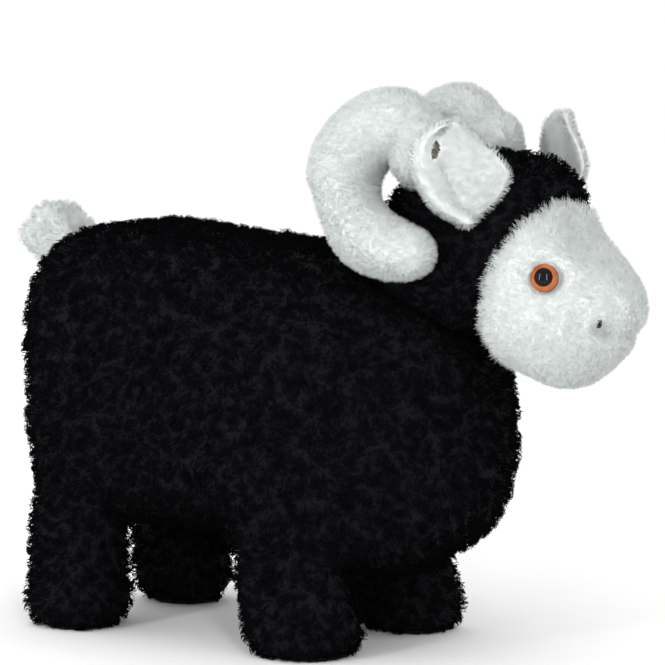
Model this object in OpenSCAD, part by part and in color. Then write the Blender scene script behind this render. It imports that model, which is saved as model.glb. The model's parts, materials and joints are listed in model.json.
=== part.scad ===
// Standing stuffed ram: fur fabric panels sewn over loose stuffing, with stuffed horns, folded ears,
// a tail and plastic safety eyes. Millimetres, +X to the nose, +Y to the ram's left, +Z up.
// The origin is on the floor, under the middle of the whole toy.

/* [Body] */
// Length of the trunk, from rump to chest
body_len = 286; // [276:1:300]
// Width of the trunk
body_w = 164; // [158:1:176]
// Height of the middle of the trunk above the floor
body_z = 134; // [130:1:150]
// Rise from the middle of the trunk to the back
back_rise = 88; // [82:1:94]
// Drop from the middle of the trunk to the belly
belly_drop = 77; // [70:1:84]
// Thickness of the fur fabric, backing and pile together
fur = 5; // [4:0.5:7]

/* [Legs] */
// Distance between the hind and front feet, centre to centre
foot_length = 162; // [150:1:170]
// Distance between the left and right feet, centre to centre
foot_spread = 100; // [92:1:104]
// Half width of a hind foot
hind_foot_r = 28; // [24:1:30]
// Half width of a front foot
front_foot_r = 30; // [26:1:32]
// Thickness of a sole
sole_t = 4; // [3:0.5:6]

/* [Head] */
// Height of the crown above the floor
crown_z = 279; // [274:1:288]
// Half width of the hood at ear level
hood_r = 47; // [44:1:50]
// Distance from the feet's middle to the nose
nose_x = 255; // [250:1:262]
// Half width of the white face where it meets the hood
face_r = 45; // [42:1:46]
// Diameter of a safety eye
eye_d = 15; // [12:1:18]

/* [Horns, ears and tail] */
// Thickest radius of a horn
horn_r = 21; // [16:1:22]
// Length of an ear
ear_len = 56; // [44:1:60]
// Half width of an ear
ear_r = 25; // [18:1:27]
// Length of the tail
tail_len = 40; // [32:1:42]

/* [Hidden] */

black_fur = "#141416";
white_fur = "#efeee6";
fill_colour = "#e6e6e0";
thread_black = "#1a1a1a";
amber = "#d9660f";

// Clearance between parts that are sewn edge to face, and between stuffing and fabric
seam_gap = 0.8;
fill_gap = 0.8;
head_fill_gap = 1.8;
// Last angle of a capped end, where the rest is a small flat, and of an end gathered to a point
end_angle = 84;
tip_angle = 89;

// Trunk: how square its plan and its side view are at each end, and its cross-section
rump_plan = 6;
rump_profile = 10;
chest_plan = 2.3;
chest_profile = 2.8;
body_section = 3.6;
// Fall of the trunk from rump to chest, as a slope
body_slope = 0.05;
body_mid = body_len / 2 - foot_length / 2 - 36;
// How far the chest hangs below the line of the belly
chest_sag = 18;
sag_reach = 0.6;
body_rows = 5;
body_step = 15;

// Corners where the trunk's panels meet, as angles around its section
back_edge = 45;
belly_edge = -60;

// Head: neck seam ring on the trunk, widest ring of the hood, and its crown
neck_x = body_mid + 92;
neck_rx = 46;
neck_ry = 46;
hood_x = body_mid + 132;
hood_rx = 60;
hood_z = 222;
hood_lean = 10;
hood_back_plan = 2.3;
hood_front_plan = 4;
hood_profile = 2.6;
hood_step = 12;

// The face meets the hood on a plane that leans forward
face_z = 200;
face_x = nose_x - 59;
face_lean = 0.25;
face_up = 50;
face_down = 38;
chin_drop = 9;
face_plan = 2;
brow_profile = 1.55;
chin_profile = 3;
face_section = 2.3;
face_step = 15;
face_fractions = [0, 0.2, 0.4, 0.58, 0.74, 0.87, 0.96, 0.9999];
chin_edge = -45;

// Places on the face: fraction of the way to the nose, and angle above the middle
eye_place = [0.43, 18];
nostril_place = [0.87, -20];

// Safety eye, along its own axis from the face fabric outwards
eye_sink = 3;
eye_rim = 1.2;
eye_bulge = 5;
pupil_d = eye_d * 0.66;
pupil_t = 2;
shank_r = 2.5;
shank_len = 14;
washer_r = 8;
washer_t = 1.6;
washer_drop = 3.4;
pocket_gap = 0.5;

// Horn centre line for the left horn, from root to tip, measured from the feet's middle
horn_route = [
    [144, 27, 284], [129, 31, 292], [113, 36, 288], [102, 43, 274],
    [101, 51, 256], [111, 59, 242], [128, 65, 233], [145, 68, 228], [159, 68, 226]
];
horn_fur = 3.5;
horn_root_r = 11;
horn_tip_r = 15;
horn_step = 30;

ear_root = [174, 51.5, 246];
ear_turn = -31;
ear_lean = [2, -8, 0];
ear_cup = 7;
ear_ply = 3;
ear_rows = 7;
ear_cols = 8;

tail_root = [-119, 0, 211];
tail_tilt = 30;
tail_r = 17;
tail_square = 2.8;
tail_step = 30;
tail_fur = 5;

// The whole toy runs from the tail's end to the nose
tail_end = tail_root[0] - tail_len * cos(tail_tilt) - tail_r * sin(tail_tilt) * 0.35;
toy_mid = (nose_x + tail_end) / 2;

/* ---------- Curves ---------- */

// Height of a superellipse arch at t, where t is 0 in the middle and 1 at the end
function arch(t, squareness) = pow(max(0, 1 - pow(abs(t), squareness)), 1 / squareness);

// Sine or cosine bent towards a squarer curve
function bow(v, squareness) = sign(v) * pow(abs(v), 2 / squareness);

// Where a row lies along a rounded end, for row k of n
function row_place(k, n, squareness, last) = sign(k) * pow(sin(last * abs(k) / n), 2 / squareness);

function mix(a, b, f) = a * (1 - f) + b * f;
function unit(v) = v / norm(v);

// Catmull-Rom curve through four points
function through(a, b, c, d, f) =
    (2 * b + (c - a) * f + (2 * a - 5 * b + 4 * c - d) * f * f + (3 * b - a - 3 * c + d) * f * f * f) / 2;

/* ---------- Skins and fillings made from grids of points ---------- */

function joined(rows) = [for (row = rows) for (p = row) p];

// Two triangles for each cell of a grid that starts at point number first
function cells(first, rows, cols, closed, inward) = [
    for (r = [0 : rows - 2]) for (c = [0 : cols - (closed ? 1 : 2)])
        let (
            a = first + r * cols + c,
            b = first + r * cols + (c + 1) % cols,
            d = first + (r + 1) * cols + c,
            e = first + (r + 1) * cols + (c + 1) % cols
        )
        each inward ? [[a, b, e], [a, e, d]] : [[a, e, b], [a, d, e]]
];

// Wall between matching edges of the outer and inner grids, given as lists of point numbers
function wall(outer, inner, flipped) = [
    for (i = [0 : len(outer) - 2])
        each flipped
            ? [[outer[i], inner[i + 1], outer[i + 1]], [outer[i], inner[i], inner[i + 1]]]
            : [[outer[i], outer[i + 1], inner[i + 1]], [outer[i], inner[i + 1], inner[i]]]
];

function ring_numbers(first, cols, closed) = [for (c = [0 : cols - (closed ? 0 : 1)]) first + c % cols];
function edge_numbers(first, rows, cols) = [for (r = [0 : rows - 1]) first + r * cols];

// A sheet of fabric between an outer and an inner grid. A closed sheet is a tube, and may be capped.
module fabric(outer, inner, closed = false, cap_start = false, cap_end = false) {
    rows = len(outer);
    cols = len(outer[0]);
    inside = rows * cols;
    last = (rows - 1) * cols;
    start_out = ring_numbers(0, cols, closed);
    start_in = ring_numbers(inside, cols, closed);
    end_out = ring_numbers(last, cols, closed);
    end_in = ring_numbers(inside + last, cols, closed);
    faces = concat(
        cells(0, rows, cols, closed, false),
        cells(inside, rows, cols, closed, true),
        cap_start
            ? [[for (c = [0 : cols - 1]) c], [for (c = [cols - 1 : -1 : 0]) inside + c]]
            : wall(start_out, start_in, false),
        cap_end
            ? [[for (c = [cols - 1 : -1 : 0]) last + c], [for (c = [0 : cols - 1]) inside + last + c]]
            : wall(end_out, end_in, true),
        closed ? [] : wall(edge_numbers(0, rows, cols), edge_numbers(inside, rows, cols), true),
        closed ? [] : wall(
            edge_numbers(cols - 1, rows, cols),
            edge_numbers(inside + cols - 1, rows, cols), false
        )
    );
    polyhedron(points = concat(joined(outer), joined(inner)), faces = faces);
}

// A solid filling whose surface is one closed grid with flat ends
module filling(grid) {
    rows = len(grid);
    cols = len(grid[0]);
    last = (rows - 1) * cols;
    faces = concat(
        cells(0, rows, cols, true, false),
        [[for (c = [0 : cols - 1]) c]],
        [[for (c = [cols - 1 : -1 : 0]) last + c]]
    );
    polyhedron(points = joined(grid), faces = faces);
}

// Puts a left-hand part about the toy's own origin, or mirrors it to the right
module placed(right = false) {
    translate([-toy_mid, 0, 0])
        mirror([0, right ? 1 : 0, 0])
            children();
}

/* ---------- Trunk ---------- */

// Half width, rise and drop of the trunk at t along its length, from -1 at the rump to 1 at the chest
function body_half_w(t, skin) = (body_w / 2 - skin) * arch(t, t < 0 ? rump_plan : chest_plan);
function body_half_h(t, full, skin) = (full - skin) * arch(t, t < 0 ? rump_profile : chest_profile);
function body_full_h(t, up) =
    up ? back_rise : belly_drop + chest_sag * (1 - cos(180 * max(0, min(1, t / sag_reach)))) / 2;

function body_point(t, a, skin) =
    let (
        x = body_mid + t * (body_len / 2 - skin),
        y = body_half_w(t, skin) * bow(cos(a), body_section),
        z = body_half_h(t, body_full_h(t, sin(a) > 0), skin) * bow(sin(a), body_section)
    )
    [x, y, body_z + z - body_slope * (x - body_mid)];

// Height of the trunk's surface above or below a place in plan. Outside the trunk it is the middle height.
function body_surface(x, y, up) =
    let (
        t = (x - body_mid) / (body_len / 2),
        w = body_half_w(t, 0),
        h = body_half_h(t, body_full_h(t, up), 0),
        rise = w > 0 ? h * arch(min(1, abs(y) / w), body_section) : 0
    )
    body_z + (up ? rise : -rise) - body_slope * (x - body_mid);

function body_row(k) = row_place(k, body_rows, k < 0 ? rump_plan : chest_plan, end_angle);

function body_grid(k0, k1, a0, a1, skin) = [
    for (k = [k0 : k1]) [for (a = [a0 : body_step : a1]) body_point(body_row(k), a, skin)]
];

// Rows that the rump and chest end panels take
rump_rows = 2;
chest_rows = 3;
whole_turn = 360 - body_step;

module trunk_panel(a0, a1) {
    k0 = rump_rows - body_rows;
    k1 = body_rows - chest_rows;
    color(black_fur)
        fabric(body_grid(k0, k1, a0, a1, 0), body_grid(k0, k1, a0, a1, fur));
}

module side_panel() {
    trunk_panel(belly_edge, back_edge);
}

module back_panel() {
    trunk_panel(back_edge, 180 - back_edge);
}

module belly_panel() {
    trunk_panel(-90, belly_edge);
}

module rump_panel() {
    k1 = rump_rows - body_rows;
    color(black_fur)
        fabric(
            body_grid(-body_rows, k1, 0, whole_turn, 0),
            body_grid(-body_rows, k1, 0, whole_turn, fur),
            closed = true, cap_start = true
        );
}

module chest_panel() {
    k0 = body_rows - chest_rows;
    color(black_fur)
        fabric(
            body_grid(k0, body_rows, 0, whole_turn, 0),
            body_grid(k0, body_rows, 0, whole_turn, fur),
            closed = true, cap_end = true
        );
}

module body_stuffing() {
    color(fill_colour)
        filling(body_grid(-body_rows, body_rows, 0, whole_turn, fur + fill_gap));
}

// Ladder stitches that close the slit under the belly
module closing_stitches() {
    count = 9;
    pitch = 6;
    thread_r = 0.6;
    length = 8;
    slit_x = body_mid - 45;
    for (i = [0 : count - 1]) {
        x = slit_x + (i - (count - 1) / 2) * pitch;
        z = body_surface(x, 0, false) - thread_r - seam_gap;
        color(thread_black)
            translate([x, length / 2, z])
                rotate([90, 0, 0])
                    cylinder(r = thread_r, h = length, $fn = 16);
    }
}

/* ---------- Legs ---------- */

// Rows of a leg, from 0 at the sole to 1 at the trunk
leg_rows = [0, 0.06, 0.16, 0.32, 0.65, 1];
leg_step = 22.5;
leg_section = 2.4;
front_leg_top_x = foot_length / 2 - 12;
front_leg_top_rx = front_foot_r + 6;
hind_leg_top_x = 1 - foot_length / 2;
hind_leg_top_rx = hind_foot_r + 1;
// How far the foot draws in at the sole, and the fraction of the leg over which it does
foot_round = 0.16;
foot_round_end = 0.16;
// The top of a leg stays within this fraction of the trunk's half width
leg_top_reach = 0.9;
// Clearance between the top of a leg and the flat facets of the trunk above it
leg_gap = 2;

function foot_swell(f) =
    f < foot_round_end ? 1 - foot_round * (1 - arch(1 - f / foot_round_end, 2)) : 1;

// Point of a leg's ring, with its centre at cx and half widths rx and ry
function leg_spot(cx, rx, ry, a) = [
    cx + rx * bow(cos(a), leg_section),
    foot_spread / 2 + ry * bow(sin(a), leg_section)
];

function leg_point(f, a, front, skin, inset = 1) =
    let (
        foot_r = front ? front_foot_r : hind_foot_r,
        foot_x = (front ? 1 : -1) * foot_length / 2,
        top_x = front ? front_leg_top_x : hind_leg_top_x,
        top_rx = front ? front_leg_top_rx : hind_leg_top_rx,
        swell = foot_swell(f),
        foot = leg_spot(foot_x, inset * (foot_r * swell - skin), inset * (foot_r * swell - skin), a),
        open_top = leg_spot(top_x, inset * (top_rx - skin), inset * (foot_r - skin), a),
        trunk_w = body_half_w((open_top[0] - body_mid) / (body_len / 2), 0),
        top_y = min(open_top[1], leg_top_reach * trunk_w - skin),
        top_z = body_surface(open_top[0], top_y, false) - leg_gap
    )
    [mix(foot[0], open_top[0], f), mix(foot[1], top_y, f), mix(sole_t, top_z, f)];

function leg_ring(f, front, skin, inset = 1) = [
    for (a = [0 : leg_step : 360 - leg_step]) leg_point(f, a, front, skin, inset)
];

module leg_cover(front) {
    color(black_fur)
        fabric(
            [for (f = leg_rows) leg_ring(f, front, 0)],
            [for (f = leg_rows) leg_ring(f, front, fur)],
            closed = true
        );
}

module leg_stuffing(front) {
    skin = fur + fill_gap;
    side_rows = [for (f = leg_rows) leg_ring(f, front, skin)];
    top_rows = [for (inset = [0.75, 0.5, 0.25, 0.05]) leg_ring(1, front, skin, inset)];
    color(fill_colour)
        filling(concat(side_rows, top_rows));
}

module sole(front) {
    ring = [for (p = leg_ring(0, front, 0)) [p[0], p[1]]];
    color(black_fur)
        linear_extrude(sole_t)
            polygon(ring);
}

/* ---------- Hood and head ---------- */

function face_plane_x(z) = face_x + face_lean * (z - face_z);

// Hood rows: the neck part runs from 0 to 1, and the crown from 1 to 2
hood_rows = [0, 0.34, 0.67, 1, 1.2, 1.4, 1.58, 1.74, 1.88, 1.99];

function hood_ring_size(f, skin) =
    let (
        g = min(f, 1),
        closing = f > 1 ? bow(cos(90 * (f - 1)), hood_profile) : 1,
        rx = (mix(neck_rx, hood_rx, g) - skin) * closing,
        ry = (mix(neck_ry, hood_r, g) - skin) * closing
    )
    [rx, ry];

function hood_centre_x(f) = f > 1 ? hood_x + hood_lean * sin(90 * (f - 1)) : mix(neck_x, hood_x, f);

// Height of the hood: the neck rises from the trunk's back at x, y, and the crown closes over it
function hood_height(f, x, y, skin) =
    f > 1
        ? hood_z + (crown_z - skin - hood_z) * bow(sin(90 * (f - 1)), hood_profile)
        : mix(body_surface(x, y, true) + seam_gap, hood_z, f);

// Angle where the front of the outer skin meets the plane of the face, at height z
function face_cut(f, z) =
    let (
        reach = (face_plane_x(z) - hood_centre_x(f)) / hood_ring_size(f, 0)[0],
        square = mix(hood_back_plan, hood_front_plan, min(f, 1))
    )
    reach < 1 ? acos(pow(max(0, reach), square / 2)) : 0;

// Point of the hood at a turn from 0 at the face to 180 at the back
function hood_point(f, turn, skin, inset = 1) =
    let (
        size = hood_ring_size(f, skin) * inset,
        foot_x = neck_x + inset * (neck_rx - skin) * bow(cos(turn), hood_back_plan),
        foot_y = inset * (neck_ry - skin) * bow(sin(turn), hood_back_plan),
        a = mix(face_cut(f, hood_height(f, foot_x, foot_y, 0)), 180, turn / 180),
        square = a < 90 ? mix(hood_back_plan, hood_front_plan, min(f, 1)) : hood_back_plan
    )
    [
        hood_centre_x(f) + size[0] * bow(cos(a), square),
        size[1] * bow(sin(a), square),
        hood_height(f, foot_x, foot_y, skin)
    ];

function hood_ring(f, skin, inset = 1) = [
    for (turn = [0 : hood_step : 180]) hood_point(f, turn, skin, inset)
];

// One half of the hood, on the left
module hood_half() {
    color(black_fur)
        fabric(
            [for (f = hood_rows) hood_ring(f, 0)],
            [for (f = hood_rows) hood_ring(f, fur)]
        );
}

// Both sides of a hood ring, joined into one closed ring
function head_ring(f, inset = 1) =
    let (half = hood_ring(f, fur + head_fill_gap, inset), last = len(half) - 1)
    concat(half, [for (i = [last - 1 : -1 : 1]) [half[i][0], -half[i][1], half[i][2]]]);

module head_stuffing() {
    base_rows = [for (inset = [0.05, 0.3, 0.55, 0.8]) head_ring(0, inset)];
    color(fill_colour)
        filling(concat(base_rows, [for (f = hood_rows) head_ring(f)]));
}

/* ---------- Face ---------- */

// Point of the face at t from 0 at the hood to 1 at the nose
function face_point(t, a, skin) =
    let (
        low = sin(a) < 0,
        y = (face_r - skin) * arch(t, face_plan) * bow(cos(a), face_section),
        full = (low ? face_down : face_up) - skin,
        rise = full * arch(t, low ? chin_profile : brow_profile) * bow(sin(a), face_section),
        z = face_z + rise - (low ? chin_drop * sin(180 * t) * -sin(a) : 0)
    )
    [face_plane_x(z) * (1 - t) + (nose_x - skin) * t, y, z];

function face_grid(a0, a1, skin) = [
    for (t = face_fractions) [for (a = [a0 : face_step : a1]) face_point(t, a, skin)]
];

// Outward direction of the face at a place
function face_normal(t, a) =
    let (
        along = face_point(t + 0.02, a, 0) - face_point(t - 0.02, a, 0),
        around = face_point(t, a + 2, 0) - face_point(t, a - 2, 0)
    )
    unit(cross(around, along));

// Moves children to a place on the face, with their own Z pointing out of it
module on_face(place, sink) {
    n = face_normal(place[0], place[1]);
    translate(face_point(place[0], place[1], 0) - n * sink)
        rotate([0, acos(n[2]), atan2(n[1], n[0])])
            children();
}

module face_panel() {
    color(white_fur)
        difference() {
            fabric(face_grid(chin_edge, 90, 0), face_grid(chin_edge, 90, fur));
            on_face(eye_place, eye_sink)
                cylinder(d = eye_d + 2 * pocket_gap, h = 3 * eye_sink, $fn = 48);
            on_face(eye_place, eye_sink)
                translate([0, 0, -2 * fur])
                    cylinder(r = shank_r + 0.2, h = 3 * fur, $fn = 32);
        }
}

module chin_panel() {
    color(white_fur)
        fabric(face_grid(-180 - chin_edge, chin_edge, 0), face_grid(-180 - chin_edge, chin_edge, fur));
}

module muzzle_stuffing() {
    color(fill_colour)
        difference() {
            filling(face_grid(0, 360 - face_step, fur + fill_gap));
            for (side = [0, 1])
                mirror([0, side, 0])
                    on_face(eye_place, eye_sink)
                        translate([0, 0, -shank_len - 1])
                            cylinder(r = washer_r + pocket_gap, h = shank_len + 1, $fn = 48);
        }
}

/* ---------- Safety eyes and nostrils ---------- */

// Amber lens: a domed cap with a shallow pocket for the pupil behind it
module eye_lens() {
    cap_r = (pow(eye_d / 2, 2) + pow(eye_bulge, 2)) / (2 * eye_bulge);
    color(amber)
        on_face(eye_place, eye_sink - eye_rim)
            difference() {
                intersection() {
                    translate([0, 0, eye_bulge - cap_r])
                        sphere(r = cap_r, $fn = 64);
                    cylinder(d = eye_d, h = 2 * eye_bulge, $fn = 64);
                }
                translate([0, 0, -1])
                    cylinder(d = pupil_d, h = pupil_t + 1, $fn = 48);
            }
}

module eye_pupil() {
    color(thread_black)
        on_face(eye_place, eye_sink - eye_rim)
            cylinder(d = pupil_d, h = pupil_t, $fn = 48);
}

// Back plate and ribbed stem, turned as one piece
module eye_shank() {
    rib = 0.45;
    ribs = 5;
    pitch = 1.6;
    first = 5.6;
    rib_len = 1;
    color(thread_black)
        on_face(eye_place, eye_sink) {
            cylinder(d = eye_d, h = eye_rim, $fn = 64);
            rotate([180, 0, 0])
                cylinder(r = shank_r, h = shank_len, $fn = 32);
            for (i = [0 : ribs - 1])
                translate([0, 0, -first - i * pitch])
                    rotate([180, 0, 0])
                        cylinder(r1 = shank_r + rib, r2 = shank_r, h = rib_len, $fn = 32);
        }
}

module eye_washer() {
    color(fill_colour)
        on_face(eye_place, eye_sink + washer_drop + washer_t)
            difference() {
                cylinder(r = washer_r, h = washer_t, $fn = 48);
                translate([0, 0, -1])
                    cylinder(r = shank_r + 0.05, h = washer_t + 2, $fn = 32);
            }
}

// Two short strands of black thread laid side by side
module nostril_stitch() {
    thread_r = 0.9;
    length = 6;
    spacing = 1.9;
    color(thread_black)
        on_face(nostril_place, -thread_r - seam_gap)
            for (side = [-0.5, 0.5])
                translate([-length / 2, side * spacing, 0])
                    rotate([0, 90, 0]) {
                        cylinder(r = thread_r, h = length, $fn = 20);
                        sphere(r = thread_r, $fn = 20);
                        translate([0, 0, length])
                            sphere(r = thread_r, $fn = 20);
                    }
}

/* ---------- Horns ---------- */

horn_spans = len(horn_route) - 1;
// Points of the route with one more beyond each end
horn_knots = concat(
    [2 * horn_route[0] - horn_route[1]],
    horn_route,
    [2 * horn_route[horn_spans] - horn_route[horn_spans - 1]]
);

// Place on the centre line, from 0 at the root to horn_spans at the tip
function horn_centre(s) =
    let (i = min(floor(s), horn_spans - 1))
    through(horn_knots[i], horn_knots[i + 1], horn_knots[i + 2], horn_knots[i + 3], s - i);

function horn_heading(s) =
    let (step = 0.05, a = max(0, s - step), b = min(horn_spans, s + step))
    unit(horn_centre(b) - horn_centre(a));

// Radius: a gathered root, a full arch, and a slow taper to the tip
function horn_radius(s) =
    let (grow = sin(90 * min(1, s / 1.5)), thin = max(0, s - 3) / (horn_spans - 3))
    s < 1.5 ? mix(horn_root_r, horn_r, grow) : mix(horn_r, horn_tip_r, thin * thin);

function horn_ring(centre, heading, r, a0, a1) =
    let (
        out = unit([0, 1, 0] - heading[1] * heading),
        across = cross(heading, out)
    )
    [for (a = [a0 : horn_step : a1]) centre + r * (cos(a) * out + sin(a) * across)];

function horn_grid(a0, a1, skin) =
    let (
        root_r = horn_root_r - skin,
        tip_r = horn_tip_r - skin,
        root = horn_centre(0),
        tip = horn_centre(horn_spans),
        root_heading = horn_heading(0),
        tip_heading = horn_heading(horn_spans)
    )
    concat(
        [for (b = [-tip_angle, -60, -30])
            horn_ring(root + root_heading * root_r * sin(b), root_heading, root_r * cos(b), a0, a1)],
        [for (s = [0 : 0.5 : horn_spans])
            horn_ring(horn_centre(s), horn_heading(s), horn_radius(s) - skin, a0, a1)],
        [for (b = [30, 60, tip_angle])
            horn_ring(tip + tip_heading * tip_r * sin(b), tip_heading, tip_r * cos(b), a0, a1)]
    );

module horn_half(a0) {
    color(white_fur)
        fabric(horn_grid(a0, a0 + 180, 0), horn_grid(a0, a0 + 180, horn_fur));
}

module horn_stuffing() {
    color(fill_colour)
        filling(horn_grid(0, 360 - horn_step, horn_fur + fill_gap));
}

/* ---------- Ears ---------- */

function ear_half_w(h) = ear_r * arch(mix(-0.97, 0.98, h), 2.4);

// Point of the ear's middle layer, moved outwards by ply
function ear_point(h, s, ply) =
    let (w = ear_half_w(h) * s)
    [w, ply + ear_cup * pow(w / ear_r, 2) * mix(1.4, 0.8, h), h * ear_len];

// Columns run from front to back, so that the outward face is on the outside of the grid
function ear_grid(ply) = [
    for (r = [0 : ear_rows - 1]) [
        for (c = [0 : ear_cols - 1]) ear_point(r / (ear_rows - 1), 1 - 2 * c / (ear_cols - 1), ply)
    ]
];

module ear_layer(inner, outer) {
    color(white_fur)
        translate(ear_root)
            rotate([0, 0, ear_turn])
                rotate(ear_lean)
                    fabric(ear_grid(outer), ear_grid(inner));
}

/* ---------- Tail ---------- */

function tail_point(t, a, skin) =
    let (r = (tail_r - skin) * arch(t, tail_square))
    [t * (tail_len / 2 - skin), r * bow(cos(a), tail_square), r * bow(sin(a), tail_square)];

function tail_grid(a0, a1, skin) = [
    for (k = [-4 : 4])
        [for (a = [a0 : tail_step : a1]) tail_point(row_place(k, 4, tail_square, tip_angle), a, skin)]
];

module tail_place() {
    translate(tail_root)
        rotate([0, tail_tilt, 0])
            translate([-tail_len / 2, 0, 0])
                children();
}

module tail_half(a0) {
    color(white_fur)
        tail_place()
            fabric(tail_grid(a0, a0 + 180, 0), tail_grid(a0, a0 + 180, tail_fur));
}

module tail_stuffing() {
    color(fill_colour)
        tail_place()
            filling(tail_grid(0, 360 - tail_step, tail_fur + fill_gap));
}

/* ---------- Assembly ---------- */

placed() side_panel();  // side_panel_left
placed(right = true) side_panel();  // side_panel_right
placed() back_panel();
placed() belly_panel();  // belly_panel_left
placed(right = true) belly_panel();  // belly_panel_right
placed() chest_panel();
placed() rump_panel();
placed() closing_stitches();
placed() body_stuffing();
placed() leg_cover(front = true);  // leg_cover_front_left
placed(right = true) leg_cover(front = true);  // leg_cover_front_right
placed() leg_cover(front = false);  // leg_cover_hind_left
placed(right = true) leg_cover(front = false);  // leg_cover_hind_right
placed() sole(front = true);  // sole_front_left
placed(right = true) sole(front = true);  // sole_front_right
placed() sole(front = false);  // sole_hind_left
placed(right = true) sole(front = false);  // sole_hind_right
placed() leg_stuffing(front = true);  // leg_stuffing_front_left
placed(right = true) leg_stuffing(front = true);  // leg_stuffing_front_right
placed() leg_stuffing(front = false);  // leg_stuffing_hind_left
placed(right = true) leg_stuffing(front = false);  // leg_stuffing_hind_right
placed() hood_half();  // hood_left
placed(right = true) hood_half();  // hood_right
placed() head_stuffing();
placed() face_panel();  // face_panel_left
placed(right = true) face_panel();  // face_panel_right
placed() chin_panel();
placed() muzzle_stuffing();
placed() eye_lens();  // eye_lens_left
placed(right = true) eye_lens();  // eye_lens_right
placed() eye_pupil();  // eye_pupil_left
placed(right = true) eye_pupil();  // eye_pupil_right
placed() eye_shank();  // eye_shank_left
placed(right = true) eye_shank();  // eye_shank_right
placed() eye_washer();  // eye_washer_left
placed(right = true) eye_washer();  // eye_washer_right
placed() nostril_stitch();  // nostril_stitch_left
placed(right = true) nostril_stitch();  // nostril_stitch_right
placed() horn_half(-90);  // horn_outer_left
placed(right = true) horn_half(-90);  // horn_outer_right
placed() horn_half(90);  // horn_inner_left
placed(right = true) horn_half(90);  // horn_inner_right
placed() horn_stuffing();  // horn_stuffing_left
placed(right = true) horn_stuffing();  // horn_stuffing_right
placed() ear_layer(-ear_ply, 0);  // ear_shell_left
placed(right = true) ear_layer(-ear_ply, 0);  // ear_shell_right
placed() ear_layer(0, ear_ply);  // ear_lining_left
placed(right = true) ear_layer(0, ear_ply);  // ear_lining_right
placed() tail_half(0);  // tail_upper
placed() tail_half(180);  // tail_lower
placed() tail_stuffing();
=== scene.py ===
"""Looks of a standing stuffed ram: skins over the CAD solids, with curls and pile grown on them."""
import json
import math

import bmesh
import bpy
import numpy as np
from mathutils import Euler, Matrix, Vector
from mathutils.bvhtree import BVHTree
from mathutils.kdtree import KDTree


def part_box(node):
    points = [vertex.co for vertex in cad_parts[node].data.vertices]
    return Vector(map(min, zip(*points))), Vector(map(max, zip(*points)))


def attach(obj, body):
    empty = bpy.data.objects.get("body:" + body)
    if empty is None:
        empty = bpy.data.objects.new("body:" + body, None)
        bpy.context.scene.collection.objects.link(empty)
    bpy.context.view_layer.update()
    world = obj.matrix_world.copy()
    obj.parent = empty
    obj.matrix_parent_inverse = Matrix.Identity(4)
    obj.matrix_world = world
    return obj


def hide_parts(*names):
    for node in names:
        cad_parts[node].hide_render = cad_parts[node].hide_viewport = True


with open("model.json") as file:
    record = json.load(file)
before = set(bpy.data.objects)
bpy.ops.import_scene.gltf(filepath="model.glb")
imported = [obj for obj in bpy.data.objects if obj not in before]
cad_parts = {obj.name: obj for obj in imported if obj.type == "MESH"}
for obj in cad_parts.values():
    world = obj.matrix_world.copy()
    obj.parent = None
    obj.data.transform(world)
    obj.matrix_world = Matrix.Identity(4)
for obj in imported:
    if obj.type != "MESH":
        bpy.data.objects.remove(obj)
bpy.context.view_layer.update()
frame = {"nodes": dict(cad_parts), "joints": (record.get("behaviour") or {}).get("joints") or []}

MM = 0.001
FRAMES = 20
PILE_ABOVE_FLOOR = 0.4 * MM
SKIN_ABOVE_FLOOR = 1 * MM
SIDES = {"left": 1, "right": -1}
LEGS = [f"{end}_{side}" for end in ("front", "hind") for side in SIDES]
TRUNK_PANELS = [
    "side_panel_left", "side_panel_right", "back_panel",
    "belly_panel_left", "belly_panel_right", "chest_panel", "rump_panel",
]


# ---------- Points and meshes ----------

def unit(vectors):
    """Vectors scaled to length 1, for one vector or an array of them."""
    vectors = np.asarray(vectors, float)
    return vectors / (np.linalg.norm(vectors, axis=-1, keepdims=True) + 1e-12)


def middle(node):
    """Middle of a CAD node's box."""
    low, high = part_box(node)
    return np.array((low + high) / 2)


def points_of(mesh):
    """A mesh's vertices, as an array."""
    flat = np.empty(len(mesh.vertices) * 3)
    mesh.vertices.foreach_get("co", flat)
    return flat.reshape(-1, 3)


def normals_of(mesh):
    """The normals of a mesh's vertices, as an array."""
    flat = np.empty(len(mesh.vertices) * 3)
    mesh.vertex_normals.foreach_get("vector", flat)
    return flat.reshape(-1, 3)


def edges_of(mesh):
    """The two vertex numbers of each edge, as an array."""
    flat = np.empty(len(mesh.edges) * 2, np.int32)
    mesh.edges.foreach_get("vertices", flat)
    return flat.reshape(-1, 2)


def set_points(mesh, points):
    """Moves a mesh's vertices to new places."""
    mesh.vertices.foreach_set("co", np.ascontiguousarray(points, np.float32).ravel())
    mesh.update()


def new_mesh(name, points, faces):
    """Smooth mesh of faces that all have the same number of corners."""
    faces = np.asarray(faces, np.int32)
    corners = faces.shape[1]
    mesh = bpy.data.meshes.new(name)
    mesh.vertices.add(len(points))
    mesh.vertices.foreach_set("co", np.ascontiguousarray(points, np.float32).ravel())
    mesh.loops.add(faces.size)
    mesh.loops.foreach_set("vertex_index", faces.ravel())
    mesh.polygons.add(len(faces))
    mesh.polygons.foreach_set("loop_start", np.arange(0, faces.size, corners, dtype=np.int32))
    mesh.polygons.foreach_set("use_smooth", np.ones(len(faces), bool))
    mesh.update(calc_edges=True)
    return mesh


def lofted(name, rings, ends_joined=False):
    """Mesh through rings of points. The last ring is joined to the first, or both are filled in."""
    count = len(rings[0])
    here = np.arange(count)
    after = (here + 1) % count
    faces = []
    for number in range(len(rings) if ends_joined else len(rings) - 1):
        a = number * count
        b = (number + 1) % len(rings) * count
        faces.append(np.stack([a + here, a + after, b + after, b + here], axis=1))
    mesh = new_mesh(name, np.concatenate(rings), np.concatenate(faces))
    close_up(mesh)
    return mesh


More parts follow.
